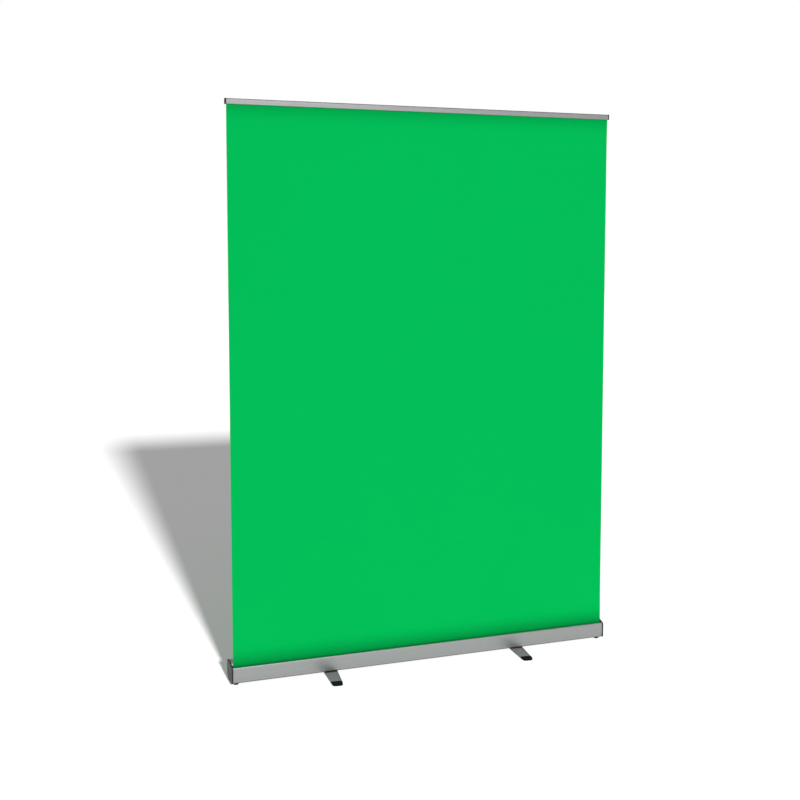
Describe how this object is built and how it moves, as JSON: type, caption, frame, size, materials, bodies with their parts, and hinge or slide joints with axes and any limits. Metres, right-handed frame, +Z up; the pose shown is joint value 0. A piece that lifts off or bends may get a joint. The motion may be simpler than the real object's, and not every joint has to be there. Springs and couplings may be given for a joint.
{
  "type": "roll-up banner stand",
  "caption": "Roll-up banner stand: an extruded cassette with a spring roller, a plain green sheet held by a clamp rail on telescopic poles, and swivelling feet.",
  "frame": {"origin": "on the floor under the middle of the cassette, midway between the two foot pivots", "axes": "+X to the right seen from the front, -Y towards the front, +Z up along the sheet"},
  "size_m": [1.516, 0.332, 2.0865],
  "materials": {
    "anodised_aluminium": "satin anodised",
    "pole_aluminium": "satin",
    "foot_metal": "grey powder coat",
    "zinc_steel": "zinc plated",
    "dark_grey_plastic": "moulded, fine texture",
    "black_plastic": "moulded",
    "rubber": "matte",
    "green_fabric": "fine woven polyester, matte"
  },
  "bodies": {
    "stand": {"cassette_body": "anodised_aluminium", "end_cap_left": "dark_grey_plastic", "end_cap_right": "dark_grey_plastic", "idler_pin": "zinc_steel", "spring_shaft": "zinc_steel", "spring_shaft_bush": "black_plastic", "banner_sheet": "green_fabric", "end_cap_left_screw_front": "zinc_steel", "end_cap_left_screw_rear": "zinc_steel", "end_pad_left": "rubber", "pole_left_socket": "dark_grey_plastic", "pole_left_socket_screw_left": "zinc_steel", "pole_left_socket_screw_right": "zinc_steel", "pole_left_lower_tube": "pole_aluminium", "foot_left_pivot_bolt": "zinc_steel", "foot_left_spacer": "black_plastic", "foot_left_nut": "zinc_steel", "end_cap_right_screw_front": "zinc_steel", "end_cap_right_screw_rear": "zinc_steel", "end_pad_right": "rubber", "pole_right_socket": "dark_grey_plastic", "pole_right_socket_screw_left": "zinc_steel", "pole_right_socket_screw_right": "zinc_steel", "pole_right_lower_tube": "pole_aluminium", "foot_right_pivot_bolt": "zinc_steel", "foot_right_spacer": "black_plastic", "foot_right_nut": "zinc_steel"},
    "roller": {"roller_tube": "anodised_aluminium", "banner_roll": "green_fabric", "roller_plug_left": "black_plastic", "roller_plug_right": "black_plastic", "retraction_spring": "zinc_steel"},
    "rail": {"rail_back": "anodised_aluminium", "rail_cap_left": "dark_grey_plastic", "rail_cap_right": "dark_grey_plastic"},
    "jaw": {"rail_jaw": "anodised_aluminium"},
    "pole_left_mid": {"pole_left_mid_tube": "pole_aluminium", "pole_left_mid_bush": "black_plastic"},
    "pole_left_top": {"pole_left_top_tube": "pole_aluminium", "pole_left_top_bush": "black_plastic", "pole_left_hook": "dark_grey_plastic"},
    "lock_left_lower": {"pole_left_lower_lock": "dark_grey_plastic"},
    "lock_left_upper": {"pole_left_upper_lock": "dark_grey_plastic"},
    "foot_left": {"foot_left_bar": "foot_metal", "foot_left_tip_front": "black_plastic", "foot_left_tip_back": "black_plastic"},
    "pole_right_mid": {"pole_right_mid_tube": "pole_aluminium", "pole_right_mid_bush": "black_plastic"},
    "pole_right_top": {"pole_right_top_tube": "pole_aluminium", "pole_right_top_bush": "black_plastic", "pole_right_hook": "dark_grey_plastic"},
    "lock_right_lower": {"pole_right_lower_lock": "dark_grey_plastic"},
    "lock_right_upper": {"pole_right_upper_lock": "dark_grey_plastic"},
    "foot_right": {"foot_right_bar": "foot_metal", "foot_right_tip_front": "black_plastic", "foot_right_tip_back": "black_plastic"}
  },
  "joints": [
    {"name": "rail_drop", "type": "slide", "parent": "stand", "child": "rail", "axis": [0, 0, -1], "range_m": [0, 1.2], "deforming": ["banner_sheet"]},
    {"name": "roller_spin", "type": "hinge", "parent": "stand", "child": "roller", "pos_m": [0, -0.006, 0.04], "axis": [1, 0, 0], "continuous": true},
    {"name": "jaw_open", "type": "hinge", "parent": "rail", "child": "jaw", "pos_m": [0, -0.029, 2.0835], "axis": [-1, 0, 0], "range_deg": [0, 45]},
    {"name": "pole_left_mid_slide", "type": "slide", "parent": "stand", "child": "pole_left_mid", "axis": [0, 0, -1], "range_m": [0, 0.6]},
    {"name": "pole_left_top_slide", "type": "slide", "parent": "pole_left_mid", "child": "pole_left_top", "axis": [0, 0, -1], "range_m": [0, 0.6]},
    {"name": "lock_left_lower_twist", "type": "hinge", "parent": "stand", "child": "lock_left_lower", "pos_m": [-0.38, 0.01, 0.7622], "axis": [0, 0, 1], "range_deg": [0, 90]},
    {"name": "lock_left_upper_twist", "type": "hinge", "parent": "pole_left_mid", "child": "lock_left_upper", "pos_m": [-0.38, 0.01, 1.4144], "axis": [0, 0, 1], "range_deg": [0, 90]},
    {"name": "foot_left_swivel", "type": "hinge", "parent": "stand", "child": "foot_left", "pos_m": [-0.38, 0, 0.004], "axis": [0, 0, 1], "range_deg": [0, 96]},
    {"name": "pole_right_mid_slide", "type": "slide", "parent": "stand", "child": "pole_right_mid", "axis": [0, 0, -1], "range_m": [0, 0.6]},
    {"name": "pole_right_top_slide", "type": "slide", "parent": "pole_right_mid", "child": "pole_right_top", "axis": [0, 0, -1], "range_m": [0, 0.6]},
    {"name": "lock_right_lower_twist", "type": "hinge", "parent": "stand", "child": "lock_right_lower", "pos_m": [0.38, 0.01, 0.7622], "axis": [0, 0, 1], "range_deg": [0, 90]},
    {"name": "lock_right_upper_twist", "type": "hinge", "parent": "pole_right_mid", "child": "lock_right_upper", "pos_m": [0.38, 0.01, 1.4144], "axis": [0, 0, 1], "range_deg": [0, 90]},
    {"name": "foot_right_swivel", "type": "hinge", "parent": "stand", "child": "foot_right", "pos_m": [0.38, 0, 0.004], "axis": [0, 0, 1], "range_deg": [-84, 0]}
  ],
  "couplings": [
    {"joint": "roller_spin", "follows": "rail_drop", "rad_per_m": 50},
    {"joint": "pole_left_mid_slide", "follows": "rail_drop", "ratio": 0.5},
    {"joint": "pole_left_top_slide", "follows": "rail_drop", "ratio": 0.5},
    {"joint": "pole_right_mid_slide", "follows": "rail_drop", "ratio": 0.5},
    {"joint": "pole_right_top_slide", "follows": "rail_drop", "ratio": 0.5}
  ]
}
